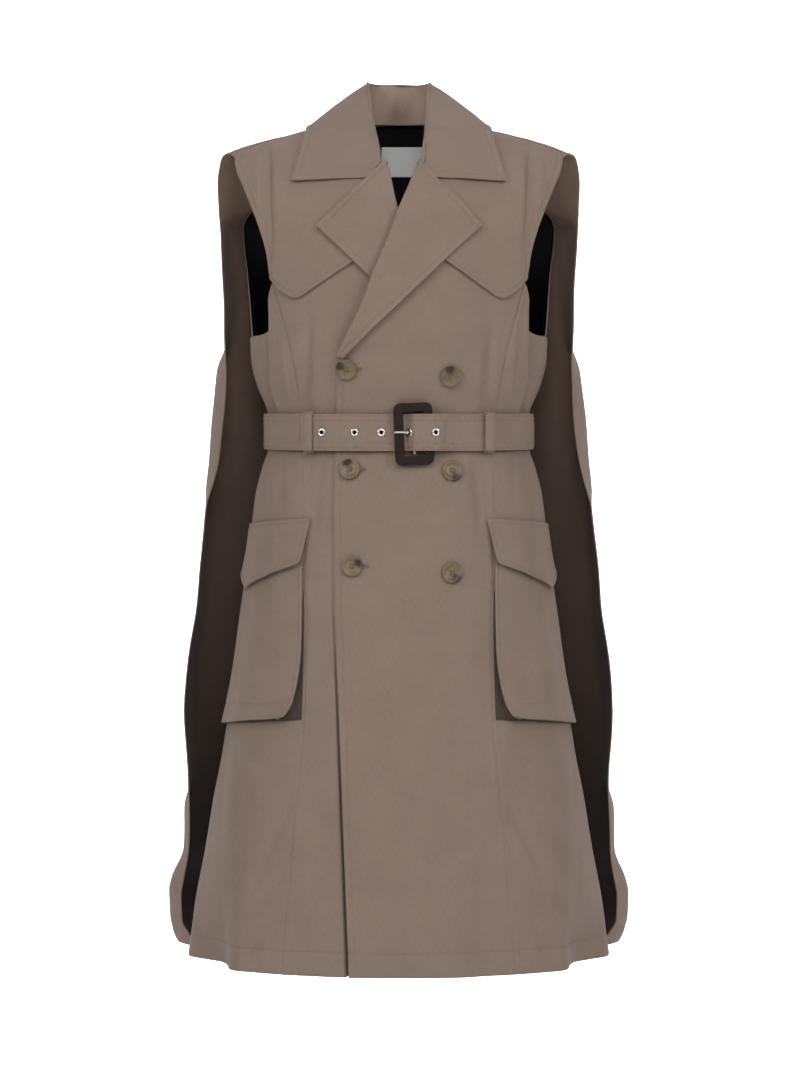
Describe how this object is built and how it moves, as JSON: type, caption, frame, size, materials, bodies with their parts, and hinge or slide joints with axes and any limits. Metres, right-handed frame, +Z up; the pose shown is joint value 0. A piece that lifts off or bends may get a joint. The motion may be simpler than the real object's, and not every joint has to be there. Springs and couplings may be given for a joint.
{
  "type": "trench vest",
  "caption": "Sleeveless double-breasted trench vest, belted, with wide lapels, storm flaps, bellows pockets and a long back cape; hollow as if worn.",
  "frame": {"origin": "midway between the shoulders, at the height of the neck points, where the garment hangs", "axes": "+Z up, the wearer faces -Y, +X is the wearer's left"},
  "size_m": [0.56, 0.4279, 1.0449],
  "materials": {
    "gabardine": "matt cotton twill",
    "cape_cloth": "matt cotton twill",
    "lining": "smooth black lining",
    "label_satin": "blank woven satin",
    "leather": "dark brown covered frame",
    "steel": "bright nickel",
    "horn": "mottled horn"
  },
  "bodies": {
    "root": {"front_left": "gabardine", "front_right": "gabardine", "side_left": "gabardine", "side_right": "gabardine", "back_left": "gabardine", "back_right": "gabardine", "storm_flap_left": "gabardine", "storm_flap_right": "gabardine", "lapel_left": "gabardine", "lapel_right": "gabardine", "collar_fall": "gabardine", "collar_stand": "gabardine", "belt": "gabardine", "belt_loop_left": "gabardine", "belt_loop_right": "gabardine", "pocket_left": "gabardine", "pocket_right": "gabardine", "pocket_flap_left": "gabardine", "pocket_flap_right": "gabardine", "pocket_gusset_left": "gabardine", "pocket_gusset_right": "gabardine", "cape": "cape_cloth", "lining_back": "lining", "label": "label_satin", "buckle_frame": "leather", "buckle_bar": "steel", "buckle_prong": "steel", "eyelet_1": "steel", "eyelet_2": "steel", "eyelet_3": "steel", "eyelet_4": "steel", "eyelet_5": "steel", "button_1": "horn", "button_2": "horn", "button_3": "horn", "button_4": "horn", "button_5": "horn", "button_6": "horn"}
  },
  "joints": []
}
